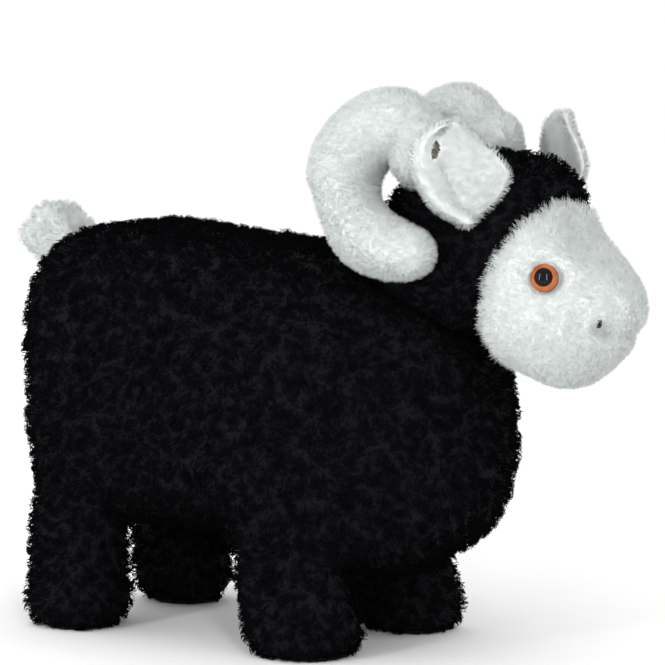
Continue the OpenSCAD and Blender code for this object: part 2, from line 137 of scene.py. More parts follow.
def close_up(mesh):
    """Fills a mesh's holes and turns all of its faces outwards."""
    work = bmesh.new()
    work.from_mesh(mesh)
    bmesh.ops.holes_fill(work, edges=work.edges, sides=0)
    bmesh.ops.recalc_face_normals(work, faces=work.faces)
    if work.calc_volume(signed=True) < 0:
        bmesh.ops.reverse_faces(work, faces=work.faces)
    for face in work.faces:
        face.smooth = True
    work.to_mesh(mesh)
    work.free()


def new_object(name, mesh):
    """Adds an object with this mesh to the scene."""
    obj = bpy.data.objects.new(name, mesh)
    bpy.context.scene.collection.objects.link(obj)
    return obj


def apply_modifiers(obj):
    """Makes the result of the modifiers the object's own mesh."""
    graph = bpy.context.evaluated_depsgraph_get()
    mesh = bpy.data.meshes.new_from_object(obj.evaluated_get(graph))
    obj.modifiers.clear()
    obj.data = mesh


def smooth_noise(points, scale, seed):
    """Slow random field with values near -1 to 1, from a few crossing waves."""
    rng = np.random.default_rng(seed)
    value = np.zeros(len(points))
    waves = 7
    for _ in range(waves):
        direction = unit(rng.normal(size=3)) * rng.uniform(0.6, 1.6)
        value += np.sin(points @ direction * 2 * math.pi / scale + rng.uniform(0, 2 * math.pi))
    return value / math.sqrt(waves)


def wander(points, scale, seed):
    """Slow random vectors, for pile that lies unevenly."""
    return np.stack([smooth_noise(points, scale, seed + k) for k in range(3)], axis=1)


def joint_place(name):
    """Where a joint of the record sits."""
    return next(np.array(joint["pos_m"]) for joint in frame["joints"] if joint["name"] == name)


def bump_at(points, centre, reach):
    """1 at the centre, falling to 0 over about the reach."""
    distance = np.linalg.norm(points - np.asarray(centre), axis=-1)
    return np.exp(-(distance / reach) ** 2)


def distance_to_path(points, path):
    """Shortest distance from each point to a line through the path's points."""
    best = np.full(len(points), np.inf)
    for a, b in zip(path[:-1], path[1:]):
        along = np.clip(((points - a) @ (b - a)) / ((b - a) @ (b - a)), 0, 1)
        best = np.minimum(best, np.linalg.norm(points - a - along[:, None] * (b - a), axis=1))
    return best


# ---------- Skins ----------

def relax(mesh, rounds, share=0.5):
    """Moves each vertex a share of the way to the mean of its neighbours, by one share or one each."""
    share = np.reshape(share, (-1, 1))
    points = points_of(mesh)
    edges = edges_of(mesh)
    count = np.bincount(edges.ravel(), minlength=len(points))[:, None]
    for _ in range(rounds):
        total = np.zeros_like(points)
        np.add.at(total, edges[:, 0], points[edges[:, 1]])
        np.add.at(total, edges[:, 1], points[edges[:, 0]])
        points += share * (total / count - points)
    set_points(mesh, points)


def swell(mesh, distance):
    """Moves the surface outwards. The distance is a number or one for each vertex."""
    set_points(mesh, points_of(mesh) + normals_of(mesh) * np.reshape(distance, (-1, 1)))


def solid_of(node):
    """A CAD node's points and triangles."""
    mesh = frame["nodes"][node].data
    mesh.calc_loop_triangles()
    corners = np.empty(len(mesh.loop_triangles) * 3, np.int32)
    mesh.loop_triangles.foreach_get("vertices", corners)
    return points_of(mesh), corners.reshape(-1, 3)


def skin_over(name, solids, voxel, grow_by, rounds=6):
    """One even closed skin around solids that may overlap."""
    starts = np.cumsum([0] + [len(points) for points, _ in solids])
    points = np.concatenate([points for points, _ in solids])
    faces = np.concatenate([faces + start for (_, faces), start in zip(solids, starts)])
    obj = new_object(name, new_mesh(name, points, faces))
    remesh = obj.modifiers.new("even", "REMESH")
    remesh.mode = "VOXEL"
    remesh.voxel_size = voxel
    remesh.use_smooth_shade = True
    apply_modifiers(obj)
    relax(obj.data, rounds)
    swell(obj.data, grow_by)
    return obj


def nearest_node(points, nodes):
    """For each point, the number of the CAD node that it is nearest to."""
    distances = []
    for node in nodes:
        mesh = frame["nodes"][node].data
        tree = BVHTree.FromPolygons([v.co for v in mesh.vertices], [p.vertices for p in mesh.polygons])
        distances.append([tree.find_nearest(Vector(p))[3] for p in points])
    return np.argmin(distances, axis=0)


def seam_share(mesh, labels):
    """1 on vertices where two panels meet and 0 elsewhere."""
    edges = edges_of(mesh)
    crossing = labels[edges[:, 0]] != labels[edges[:, 1]]
    share = np.zeros(len(labels))
    share[edges[crossing].ravel()] = 1
    return share


def start_cloth(obj, pinned, pressure=4.0):
    """Cloth under air pressure, held where it is pinned."""
    group = obj.vertex_groups.new(name="seams")
    for number, weight in enumerate(pinned):
        if weight > 0:
            group.add([number], float(weight), "REPLACE")
    cloth = obj.modifiers.new("cloth", "CLOTH")
    cloth.settings.use_pressure = True
    cloth.settings.uniform_pressure_force = pressure
    cloth.settings.vertex_group_mass = "seams"
    cloth.settings.quality = 5
    cloth.settings.effector_weights.gravity = 0
    cloth.point_cache.frame_start = 1
    cloth.point_cache.frame_end = FRAMES


def blow_up(skins, caps):
    """Runs the cloth on all the skins together, then keeps each point within its skin's cap."""
    scene = bpy.context.scene
    for number in range(1, FRAMES + 1):
        scene.frame_set(number)
    graph = bpy.context.evaluated_depsgraph_get()
    for obj, cap in zip(skins, caps):
        rest = points_of(obj.data)
        blown = bpy.data.meshes.new_from_object(obj.evaluated_get(graph))
        move = points_of(blown) - rest
        length = np.linalg.norm(move, axis=1, keepdims=True)
        obj.modifiers.clear()
        set_points(obj.data, rest + move * np.minimum(1, np.reshape(cap, (-1, 1)) / (length + 1e-9)))
        relax(obj.data, 2)
    scene.frame_set(1)


def cut_out(skin, name, chosen):
    """Copy of the part of a skin that starts at chosen vertices, with its cut edge closed."""
    work = bmesh.new()
    work.from_mesh(skin.data)
    rest = [face for face in work.faces if not chosen[face.verts[0].index]]
    bmesh.ops.delete(work, geom=rest, context="FACES")
    mesh = bpy.data.meshes.new(name)
    work.to_mesh(mesh)
    work.free()
    close_up(mesh)
    return new_object(name, mesh)


# ---------- Materials ----------

def plain_material(name, colour, roughness, specular=0.5, sheen=0.0):
    """One even colour, for bumps and shades to be added to."""
    material = bpy.data.materials.new(name)
    material.use_nodes = True
    shader = material.node_tree.nodes["Principled BSDF"]
    shader.inputs["Base Color"].default_value = (*colour, 1)
    shader.inputs["Roughness"].default_value = roughness
    shader.inputs["Specular IOR Level"].default_value = specular
    shader.inputs["Sheen Weight"].default_value = sheen
    return material


def add_bump(material, scale, strength, distance):
    """Fine unevenness from a noise texture in the piece's own coordinates."""
    tree = material.node_tree
    shader = tree.nodes["Principled BSDF"]
    place = tree.nodes.new("ShaderNodeTexCoord")
    noise = tree.nodes.new("ShaderNodeTexNoise")
    noise.inputs["Scale"].default_value = scale
    noise.inputs["Detail"].default_value = 4
    bump = tree.nodes.new("ShaderNodeBump")
    bump.inputs["Strength"].default_value = strength
    bump.inputs["Distance"].default_value = distance
    tree.links.new(place.outputs["Object"], noise.inputs["Vector"])
    tree.links.new(noise.outputs["Fac"], bump.inputs["Height"])
    tree.links.new(bump.outputs["Normal"], shader.inputs["Normal"])
    return noise


def mottled_material(name, light, dark, roughness, scale, specular=0.5):
    """Fabric or plastic whose colour drifts between two shades, with fine bumps."""
    material = plain_material(name, light, roughness, specular)
    tree = material.node_tree
    noise = add_bump(material, scale, 0.4, 0.5 * MM)
    ramp = tree.nodes.new("ShaderNodeValToRGB")
    ramp.color_ramp.elements[0].position = 0.35
    ramp.color_ramp.elements[0].color = (*dark, 1)
    ramp.color_ramp.elements[1].position = 0.65
    ramp.color_ramp.elements[1].color = (*light, 1)
    tree.links.new(noise.outputs["Fac"], ramp.inputs["Fac"])
    tree.links.new(ramp.outputs["Color"], tree.nodes["Principled BSDF"].inputs["Base Color"])
    return material


def pile_materials(name, shades, roughness, specular, sheen):
    """A material for each shade of a pile's strands."""
    found = []
    for number, shade in enumerate(shades):
        material = plain_material(f"{name}_{number + 1}", shade, roughness, specular, sheen)
        add_bump(material, 900, 0.3, 0.2 * MM)
        found.append(material)
    return found


BLACK_SHADES = [(0.003, 0.003, 0.0036), (0.0033, 0.0033, 0.0041), (0.0037, 0.0037, 0.0045)]
WHITE_SHADES = [(0.735, 0.78, 0.765), (0.74, 0.785, 0.77), (0.73, 0.77, 0.75)]
black_pile = pile_materials("black_curl", BLACK_SHADES, 0.95, 0.0, 0.0)
white_pile = pile_materials("white_pile", WHITE_SHADES, 0.95, 0.03, 0.05)
black_backing = mottled_material(
    "black_backing", (0.006, 0.006, 0.008), (0.003, 0.003, 0.004), 0.95, 700, 0.1
)
white_backing = mottled_material(
    "white_backing", (0.79, 0.82, 0.80), (0.75, 0.77, 0.74), 0.95, 500, 0.1
)
# Painted shade: dark brown with drifting tone for the shadow inside the fold at the ear's opening, not a
# lining colour.
opening_painted_shade = mottled_material(
    "opening_painted_shade", (0.20, 0.17, 0.14), (0.10, 0.085, 0.07), 0.95, 900, 0.1
)
thread = mottled_material("thread", (0.012, 0.012, 0.013), (0.004, 0.004, 0.004), 0.6, 1500, 0.3)
washer_plastic = mottled_material("washer_plastic", (0.8, 0.8, 0.77), (0.72, 0.72, 0.68), 0.45, 300)
shank_plastic = mottled_material("shank_plastic", (0.02, 0.02, 0.02), (0.01, 0.01, 0.01), 0.4, 300)
pupil_plastic = mottled_material(
    "pupil_plastic", (0.004, 0.004, 0.005), (0.002, 0.002, 0.003), 0.02, 60, 0.18
)
amber_plastic = mottled_material("amber_plastic", (0.42, 0.105, 0.012), (0.28, 0.06, 0.006), 0.06, 140)


# ---------- Pile and curls ----------

def sample(obj, density, seed, labels=None):
    """Random places on a skin, per square metre: points, normals and the label of each place."""
    mesh = obj.data
    mesh.calc_loop_triangles()
    flat = np.empty(len(mesh.loop_triangles) * 3, np.int32)
    mesh.loop_triangles.foreach_get("vertices", flat)
    corners = flat.reshape(-1, 3)
    points = points_of(mesh)
    normals = normals_of(mesh)
    a, b, c = points[corners].transpose(1, 0, 2)
    area = np.linalg.norm(np.cross(b - a, c - a), axis=1) / 2
    rng = np.random.default_rng(seed)
    count = int(area.sum() * density * (1))
    chosen = rng.choice(len(area), count, p=area / area.sum())
    u, v = rng.random((2, count))
    flip = u + v > 1
    u[flip] = 1 - u[flip]
    v[flip] = 1 - v[flip]
    weights = np.stack([1 - u - v, u, v], axis=1)[..., None]
    picked = corners[chosen]
    place = (points[picked] * weights).sum(axis=1)
    normal = unit((normals[picked] * weights).sum(axis=1))
    label = np.zeros(count, int) if labels is None else labels[picked[:, 0]]
    return place, normal, label


def lock_numbers(place, strands_each):
    """Gathers strands into locks: the locks' centres, and the number of each strand's lock."""
    centres = place[::strands_each]
    tree = KDTree(len(centres))
    for number, centre in enumerate(centres.tolist()):
        tree.insert(centre, number)
    tree.balance()
    return centres, np.array([tree.find(spot)[1] for spot in place.tolist()], int)


def strands(name, place, normal, lie, longer, style, seed):
    """One mesh of curved, tapered, three-sided strands, which lean together in locks.

    Velvet turns the strands' shading normals towards the skin's, as very fine pile looks smooth.
    """
    rng = np.random.default_rng(seed)
    count = len(place)
    rings = style["rings"]
    centres, lock = lock_numbers(place, style["strands_each"])
    flat_lie = unit(lie - (lie * normal).sum(axis=1, keepdims=True) * normal)
    stray = rng.normal(size=(len(centres), 3))[lock] * style["lock_stray"]
    stray += rng.normal(size=(count, 3)) * style["strand_stray"]
    heading = unit(normal + flat_lie * (style["lean"] * longer)[:, None] + stray)
    side = unit(np.cross(heading, rng.normal(size=(len(centres), 3))[lock]))
    other = np.cross(heading, side)
    length = style["length"] * longer * rng.uniform(0.85, 1.1, count)
    length *= 1 + style["uneven"] * rng.uniform(-1, 1, len(centres))[lock]
    width = style["width"] * rng.uniform(0.75, 1.2, count)
    phase = rng.uniform(0, 2 * math.pi, len(centres))[lock] + rng.normal(size=count) * 0.5
    turn = 2 * math.pi * style["turns"] * rng.choice([-1, 1], len(centres))[lock]
    along = np.linspace(0, 1, rings)
    angle = phase[:, None] + turn[:, None] * along
    curl = style["curl"] * np.sqrt(along)
    gather = (centres[lock] - place) * np.minimum(0.9, style["gather"] * longer ** 1.5)[:, None]
    centre = (
        place[:, None]
        + heading[:, None] * (length[:, None] * along)[..., None]
        + side[:, None] * ((np.cos(angle) - np.cos(phase)[:, None]) * curl)[..., None]
        + other[:, None] * ((np.sin(angle) - np.sin(phase)[:, None]) * curl)[..., None]
        + flat_lie[:, None] * (style["droop"] * length[:, None] * along ** 2)[..., None]
        + gather[:, None] * along[:, None]
    )
    radius = width[:, None] / 2 * (1 - (1 - style["tip"]) * along ** 1.5)
    corner = np.arange(3) * 2 * math.pi / 3
    spoke = side[:, None] * np.cos(corner)[:, None] + other[:, None] * np.sin(corner)[:, None]
    points = centre[:, :, None] + spoke[:, None] * radius[:, :, None, None]
    points[..., 2] = np.maximum(points[..., 2], PILE_ABOVE_FLOOR)
    low = np.arange(rings - 1)[:, None] * 3 + np.arange(3)
    next_low = np.arange(rings - 1)[:, None] * 3 + (np.arange(3) + 1) % 3
    quads = np.stack([low, next_low, next_low + 3, low + 3], axis=-1).reshape(-1, 4)
    faces = (quads + np.arange(count)[:, None, None] * rings * 3).reshape(-1, 4)
    mesh = new_mesh(name, points.reshape(-1, 3), faces)
    if style["velvet"]:
        soft = unit(np.repeat(normal, rings * 3, axis=0) * style["velvet"] + unit(normals_of(mesh)))
        mesh.normals_split_custom_set_from_vertices(soft)
    shade = rng.integers(0, len(style["materials"]), count)
    mesh.polygons.foreach_set("material_index", np.repeat(shade, len(quads)).astype(np.int32))
    for material in style["materials"]:
        mesh.materials.append(material)
    return new_object(name, mesh)


def grow(skin, names, labels, style, lie, body, seed, keep=None, longer=None):
    """Pile on a skin, as pieces of a moderate size for each CAD panel that it stands for.

    Lie gives the way the pile is combed, keep says where it stands, and longer how many times as long.
    """
    place, normal, label = sample(skin, style["density"], seed, labels)
    if keep is not None:
        kept = keep(place, normal)
        place, normal, label = place[kept], normal[kept], label[kept]
    extra = np.ones(len(place)) if longer is None else longer(place)
    way = lie(place)
    most = MOST_TRIANGLES // (6 * (style["rings"] - 1))
    for number, node in enumerate(names):
        mine = np.flatnonzero(label == number)
        for part, some in enumerate(np.array_split(mine, math.ceil(len(mine) / most) or 1)):
            piece = strands(
                f"{node}_fur_{part + 1}", place[some], normal[some], way[some], extra[some],
                style, seed + 7 * number + part,
            )
            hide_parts(node)
            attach(piece, body)


# The most triangles in one piece of pile.
MOST_TRIANGLES = 180000
BLACK_CURLS = {
    "length": 4.2 * MM, "width": 0.75 * MM, "tip": 0.6, "rings": 5,
    "curl": 1.0 * MM, "turns": 0.9, "lean": 0.4, "droop": 0.15,
    "lock_stray": 0.4, "strand_stray": 0.25, "gather": 0.55, "strands_each": 9,
    "density": 330000, "uneven": 0.2, "velvet": 5, "materials": black_pile, "slot": "black_boucle",
}
WHITE_PILE = {
    "length": 2.9 * MM, "width": 0.34 * MM, "tip": 0.3, "rings": 3,
    "curl": 0.2 * MM, "turns": 0.4, "lean": 0.35, "droop": 0.1,
    "lock_stray": 0.1, "strand_stray": 0.4, "gather": 0.15, "strands_each": 10,
    "density": 2300000, "uneven": 0.15, "velvet": 6, "materials": white_pile, "slot": "white_plush",
}


# ---------- Skins of the trunk and legs, the head, the horns and the tail ----------

def finish_skin(skin, material, body, node):
    """Gives a skin its fabric backing, and makes it stand for the stuffing of a CAD body."""
    skin.data.materials.clear()
    skin.data.materials.append(material)
    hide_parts(node)
    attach(skin, body)


def lumps(skin, size, height, seed):
    """Soft unevenness of loosely stuffed fabric."""
    swell(skin.data, height * smooth_noise(points_of(skin.data), size, seed))


def leg_shape(solid):
    """A leg's solid, a little wider to the rear, with its top pushed up into the trunk."""
    points, faces = solid
    front = points[:, 0].max()
    rise = np.clip((points[:, 2] - points[:, 2].max() + 24 * MM) / (16 * MM), 0, 1)
    shaped = points + rise[:, None] * [0, 0, 10 * MM]
    shaped[:, 0] = front + 1.08 * (points[:, 0] - front)
    return shaped, faces


def smooth_joins(mesh, on_legs, reach):
    """Rounds the corner between the legs and the trunk."""
    points = points_of(mesh)
    join = points[seam_share(mesh, on_legs) > 0]
    distance = np.array([np.linalg.norm(join - point, axis=1).min() for point in points])
    relax(mesh, 30, 0.5 * np.exp(-(distance / reach) ** 2))


def tube(path, radii, corners=24):
    """Points and triangles of a closed round tube with flattened ends."""
    path = np.asarray(path, float)
    heading = unit(np.gradient(path, axis=0))
    side = unit(np.cross(heading, [1, 0, 0]))
    other = np.cross(heading, side)
    turns = np.arange(corners) * 2 * math.pi / corners
    rings = [
        spot + radius * (np.cos(turns)[:, None] * a + np.sin(turns)[:, None] * b)
        for spot, radius, a, b in zip(path, radii, side, other)
    ]
    mesh = lofted("tube", rings)
    mesh.calc_loop_triangles()
    triangles = np.array([t.vertices for t in mesh.loop_triangles], np.int32)
    points = points_of(mesh)
    bpy.data.meshes.remove(mesh)
    return points, triangles


def horn_foot(side):
    """The horn's root, drawn down the side of the hood behind the ear."""
    root = joint_place(f"horn_spread_{side}")
    way = np.array([-1, SIDES[side] * 6, -24]) * MM
    share = np.linspace(-0.25, 1, 9)
    path = root + share[:, None] * way
    radii = 16 * MM * np.sqrt(1 - np.linspace(-0.75, 0.97, 9) ** 4)
    return tube(path, radii)


COAT_PANELS = TRUNK_PANELS + [f"leg_cover_{leg}" for leg in LEGS]
leg_solids = [leg_shape(solid_of(f"leg_stuffing_{leg}")) for leg in LEGS]
coat = skin_over(
    "coat_skin", [solid_of("body_stuffing"), *leg_solids], voxel=4.5 * MM, grow_by=4.2 * MM
)
coat_labels = nearest_node(points_of(coat.data), COAT_PANELS)
on_legs = coat_labels >= len(TRUNK_PANELS)
smooth_joins(coat.data, on_legs, 16 * MM)
head = skin_over("head_skin", [solid_of("head_stuffing")], voxel=4 * MM, grow_by=3.8 * MM)
head_labels = (points_of(head.data)[:, 1] < 0).astype(int)
muzzle = skin_over("muzzle_skin", [solid_of("muzzle_stuffing")], voxel=3 * MM, grow_by=3 * MM)
horns = {
    side: skin_over(
        f"horn_{side}_skin", [solid_of(f"horn_stuffing_{side}"), horn_foot(side)],
        voxel=3 * MM, grow_by=2.4 * MM,
    )
    for side in SIDES
}
tail = skin_over("tail_skin", [solid_of("tail_stuffing")], voxel=3 * MM, grow_by=3 * MM, rounds=2)

start_cloth(coat, seam_share(coat.data, np.where(on_legs, -1, coat_labels)))
start_cloth(head, seam_share(head.data, head_labels))
for skin in (muzzle, tail, *horns.values()):
    start_cloth(skin, np.zeros(len(skin.data.vertices)))
blow_up(
    [coat, head, muzzle, tail, *horns.values()],
    [np.where(on_legs, 1.5 * MM, 4 * MM), 2 * MM, 1.5 * MM, 1.5 * MM, 1.2 * MM, 1.2 * MM],
)


# ---------- Trunk, legs and hood ----------

def black_lie(points):
    """The coat lies backwards and down, and wanders a little."""
    return [-0.5, 0.0, -0.8] + 0.8 * wander(points, 28 * MM, 11)


def clear_of_stitches(place, normal):
    """Leaves the slit under the belly showing."""
    low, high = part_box("closing_stitches")
    inside = (place[:, 0] > low[0] - 2 * MM) & (place[:, 0] < high[0] + 2 * MM)
    return ~(inside & (np.abs(place[:, 1]) < high[1]) & (place[:, 2] < high[2] + 20 * MM))


lumps(coat, 70 * MM, 1.2 * MM, seed=21)
lumps(coat, 20 * MM, 0.7 * MM, seed=22)
set_points(coat.data, np.maximum(points_of(coat.data), [-1, -1, SKIN_ABOVE_FLOOR]))
grow(
    coat, COAT_PANELS, coat_labels, BLACK_CURLS, black_lie, "ram",
    seed=100, keep=clear_of_stitches,
)
trunk = cut_out(coat, "trunk_skin", ~on_legs)
finish_skin(trunk, black_backing, "ram", "body_stuffing")
for number, leg in enumerate(LEGS):
    skin = cut_out(coat, f"leg_{leg}_skin", coat_labels == len(TRUNK_PANELS) + number)
    finish_skin(skin, black_backing, "ram", f"leg_stuffing_{leg}")
bpy.data.objects.remove(coat)


def hood_lie(points):
    """The coat's lie, turned forwards over the top of the face."""
    face_low, face_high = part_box("face_panel_left")
    fringe = np.clip((points[:, 2] - face_high[2] + 12 * MM) / (8 * MM), 0, 1)
    fringe *= np.clip((points[:, 0] - face_low[0] + 10 * MM) / (10 * MM), 0, 1)
    return black_lie(points) * (1 - fringe[:, None]) + fringe[:, None] * [1.5, 0, 0]


lumps(head, 20 * MM, 0.7 * MM, seed=40)
finish_skin(head, black_backing, "ram", "head_stuffing")


# A sole's outline as a share of its CAD box, and its edge: shares of that, with heights in mm.
SOLE_SHARE = 0.86
SOLE_PROFILE = [
    (0.02, 0.2), (0.6, 0.2), (0.9, 0.4), (0.98, 0.9), (1.0, 1.8), (0.9, 2.6), (0.5, 3), (0.02, 3),
]


def make_sole(leg):
    """Oval pad of short-napped fabric under a foot, with a rounded edge."""
    low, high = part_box(f"sole_{leg}")
    centre = (low + high) / 2
    half = (high - low) / 2 * SOLE_SHARE
    corners = 48
    turns = np.arange(corners) * 2 * math.pi / corners
    rings = [
        np.stack([
            centre[0] + half[0] * share * np.cos(turns),
            centre[1] + half[1] * share * np.sin(turns),
            np.full(corners, low[2] + level * MM),
        ], axis=1)
        for share, level in SOLE_PROFILE
    ]
    obj = new_object(f"sole_{leg}_pad", lofted(f"sole_{leg}_pad", rings))
    obj.data.materials.append(black_backing)
    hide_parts(f"sole_{leg}")
    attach(obj, "ram")


for leg in LEGS:
    make_sole(leg)


# ---------- Face ----------

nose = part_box("face_panel_left")[1][0]
face_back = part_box("chin_panel")[0][0]
eye_centre = {side: middle(f"eye_pupil_{side}") for side in SIDES}
nostril = {side: middle(f"nostril_stitch_{side}") for side in SIDES}
FACE_PANELS = ["face_panel_left", "face_panel_right", "chin_panel"]


MOUTH = np.array([
    [nose - 13 * MM, -17 * MM, 187 * MM], [nose - 3 * MM, -8 * MM, 182 * MM],
    [nose - 3 * MM, 8 * MM, 182 * MM], [nose - 13 * MM, 17 * MM, 187 * MM],
])


def sculpt_face(mesh):
    """Raises the snout and the chin, and draws in the bridge, the mouth, the cheeks and the seam."""
    points = points_of(mesh)
    groove = np.exp(-(distance_to_path(points, MOUTH) / (4 * MM)) ** 2)
    snout = bump_at(points, [nose, 0, 195 * MM], 20 * MM)
    bridge = bump_at(points * [1, 0.7, 1], [nose - 20 * MM, 0, 240 * MM], 23 * MM)
    for side in SIDES:
        bridge *= 1 - bump_at(points, eye_centre[side], 17 * MM)
    seam = np.exp(-(points[:, 1] / (2.5 * MM)) ** 2) * (points[:, 2] > 236 * MM)
    cheeks = sum(bump_at(points, [nose - 40 * MM, s * 40 * MM, 174 * MM], 6 * MM) for s in (-1, 1))
    sockets = sum(bump_at(points, eye_centre[side], 9 * MM) for side in SIDES)
    chin = bump_at(points, [nose - 38 * MM, 0, 158 * MM], 22 * MM)
    jowls = sum(bump_at(points, [face_back + 4 * MM, s * 36 * MM, 190 * MM], 22 * MM) for s in (-1, 1))
    raised = 7 * snout + 4 * chin
    drawn_in = 5.5 * groove + 8 * bridge + 1.2 * seam + 1.5 * cheeks + sockets
    swell(mesh, MM * (raised - drawn_in))
    set_points(mesh, points_of(mesh) - jowls[:, None] * [4.5 * MM, 0, 0])


def face_lie(points):
    """The pile on the face is combed back from the nose and outwards."""
    away = unit(points - np.array([nose + 5 * MM, 0, 195 * MM]))
    away[:, 0] -= 0.4
    return away + 0.25 * wander(points, 18 * MM, 50)


def tree_of(skin):
    """A skin's surface, for finding the nearest place on it."""
    mesh = skin.data
    return BVHTree.FromPolygons([v.co for v in mesh.vertices], [p.vertices for p in mesh.polygons])


def height_over(tree, points):
    """How far each point is outside a skin. It is below 0 inside."""
    heights = []
    for point in points.tolist():
        spot, normal, _, distance = tree.find_nearest(point)
        heights.append(math.copysign(distance, (Vector(point) - spot).dot(normal)))
    return np.array(heights)


def lap_over_hood(mesh):
    """Lifts the edge of the face over the hood, as high as the curls there."""
    height = np.maximum(height_over(hood_tree, points_of(mesh)), 0)
    swell(mesh, 6.5 * MM * np.exp(-(height / (11 * MM)) ** 2))


def longer_at_edge(points):
    """The pile hangs over the hood along the edge of the face."""
    from_hood = (height_over(hood_tree, points) - 4 * MM) / (7 * MM)
    from_back = (points[:, 0] - face_back) / (9 * MM)
    return 1 + 1.4 * np.clip(1 - np.minimum(from_hood, from_back), 0, 1)


def outside_face(place, normal):
    """No curls where the white face covers the hood."""
    return height_over(face_tree, place) > 0.5 * MM


def clear_of_eyes(place, normal):
    """No pile over the eyes, the nostril stitches or the back of the face."""
    kept = place[:, 0] > face_back - 2 * MM
    for side in SIDES:
        kept &= np.linalg.norm(place - eye_centre[side], axis=1) > 7.6 * MM
        kept &= np.linalg.norm(place - stitch_place[side], axis=1) > 1.6 * MM
    return kept


def on_surface(skin, point):
    """The nearest place on a skin to a point, and the skin's normal there."""
    found, place, normal, _ = skin.closest_point_on_mesh(Vector(point))
    return np.array(place), np.array(normal)


def make_stitch(side):
    """Two turns of thread drawn into the pile for a nostril."""
    place, normal = on_surface(muzzle, nostril[side])
    forward = unit(np.cross(normal, [0, 0, 1]))
    up = np.cross(forward, normal)
    radius = 0.5 * MM
    turns = np.arange(10) * 2 * math.pi / 10
    rows = []
    for across in (-0.6 * MM, 0.6 * MM):
        for angle in np.linspace(0.15 * math.pi, 0.85 * math.pi, 9):
            spot = place + forward * across + up * 2.6 * MM * math.cos(angle)
            spot = spot + normal * (2.4 * MM * math.sin(angle) - 0.6 * MM)
            out = up * math.cos(angle) + normal * math.sin(angle)
            rows.append(spot + radius * (np.cos(turns)[:, None] * out + np.sin(turns)[:, None] * forward))
    name = f"nostril_{side}_thread"
    obj = new_object(name, lofted(name, rows))
    obj.data.materials.append(thread)
    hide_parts(f"nostril_stitch_{side}")
    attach(obj, "ram")
    return place


hood_tree = tree_of(head)
sculpt_face(muzzle.data)
lap_over_hood(muzzle.data)
face_tree = tree_of(muzzle)
grow(
    head, ["hood_left", "hood_right"], head_labels, BLACK_CURLS, hood_lie, "ram",
    seed=300, keep=outside_face,
)
face_labels = nearest_node(points_of(muzzle.data), FACE_PANELS)
stitch_place = {side: make_stitch(side) for side in SIDES}
finish_skin(muzzle, white_backing, "ram", "muzzle_stuffing")
grow(
    muzzle, FACE_PANELS, face_labels, WHITE_PILE, face_lie, "ram",
    seed=400, keep=clear_of_eyes, longer=longer_at_edge,
)


def make_eye(side):
    """Amber ring around a black pupil, both polished to one dome."""
    base = middle(f"eye_washer_{side}")
    pupil = middle(f"eye_pupil_{side}")
    axis = unit(pupil - base)
    across = unit(np.cross(axis, [0, 0, 1]))
    up = np.cross(across, axis)
    turns = np.arange(64) * 2 * math.pi / 64
    spokes = np.cos(turns)[:, None] * across + np.sin(turns)[:, None] * up
    edge, bulge, back = 7.4 * MM, 3.6 * MM, -1.2 * MM
    inner = 4.9 * MM
    ball = (edge ** 2 + bulge ** 2) / (2 * bulge)

    def dome(radius):
        return bulge - ball + math.sqrt(ball ** 2 - radius ** 2)

    def turned(name, profile, ends_joined, material, node, slot):
        rings = [pupil + axis * height + radius * spokes for radius, height in profile]
        obj = new_object(name, lofted(name, rings, ends_joined))
        obj.data.materials.append(material)
        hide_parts(node)
        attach(obj, "ram")

    ring = [(inner, back), (inner, dome(inner) - 0.25 * MM)]
    ring += [(radius, dome(radius)) for radius in np.linspace(inner + 0.25 * MM, edge - 0.05 * MM, 12)]
    ring += [(edge, -0.2 * MM), (edge, back)]
    turned(f"eye_lens_{side}_ring", ring, True, amber_plastic, f"eye_lens_{side}", "amber_lens")
    disc = [(0.02 * MM, back), (inner - 0.02 * MM, back)]
    disc += [(radius, dome(radius) - 0.15 * MM) for radius in np.linspace(inner - 0.02 * MM, 0.02 * MM, 16)]
    turned(f"eye_pupil_{side}_disc", disc, False, pupil_plastic, f"eye_pupil_{side}", "black_pupil")


for side in SIDES:
    make_eye(side)


# ---------- Horns, ears and tail ----------

HORN_PILE = dict(WHITE_PILE, length=3.6 * MM, lean=0.25)


def horn_lie(side):
    """The pile follows the horn round from its root to its tip."""
    low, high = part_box(f"horn_stuffing_{side}")
    hub = np.array([(low[0] + high[0]) / 2, 0, (low[2] + high[2]) / 2])

    def lie(points):
        spoke = points - hub
        way = np.stack([-spoke[:, 2], np.zeros(len(points)), spoke[:, 0]], axis=1)
        return unit(way) + 0.3 * wander(points, 20 * MM, 60)

    return lie


# Places along and above a horn's lowest rear corner, how far round them it is moved, and how far.
HORN_BENDS = [(8 * MM, 22 * MM, 24 * MM, 9 * MM), (5 * MM, 8 * MM, 18 * MM, 8 * MM)]


def straighten(mesh, side):
    """Takes the sag out of the lower rear bend of a horn."""
    low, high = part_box(f"horn_stuffing_{side}")
    for along, above, reach, shift in HORN_BENDS:
        bend = [low[0] + along, SIDES[side] * 55 * MM, low[2] + above]
        points = points_of(mesh)
        set_points(mesh, points + bump_at(points, bend, reach)[:, None] * [shift, 0, shift])


for number, (side, skin) in enumerate(horns.items()):
    panels = [f"horn_outer_{side}", f"horn_inner_{side}"]
    straighten(skin.data, side)
    labels = nearest_node(points_of(skin.data), panels)
    swell(skin.data, -0.6 * MM * seam_share(skin.data, labels))
    finish_skin(skin, white_backing, f"horn_{side}", f"horn_stuffing_{side}")
    grow(skin, panels, labels, HORN_PILE, horn_lie(side), f"horn_{side}", seed=500 + 50 * number)


TAIL_PILE = dict(
    WHITE_PILE, length=4.5 * MM, lock_stray=0.3, gather=0.6, uneven=0.25, strands_each=18
)
tail_root = joint_place("tail_wag")


def tail_lie(points):
    """The pile points away from the tail's root."""
    return unit(points - tail_root) + 0.3 * wander(points, 15 * MM, 70)


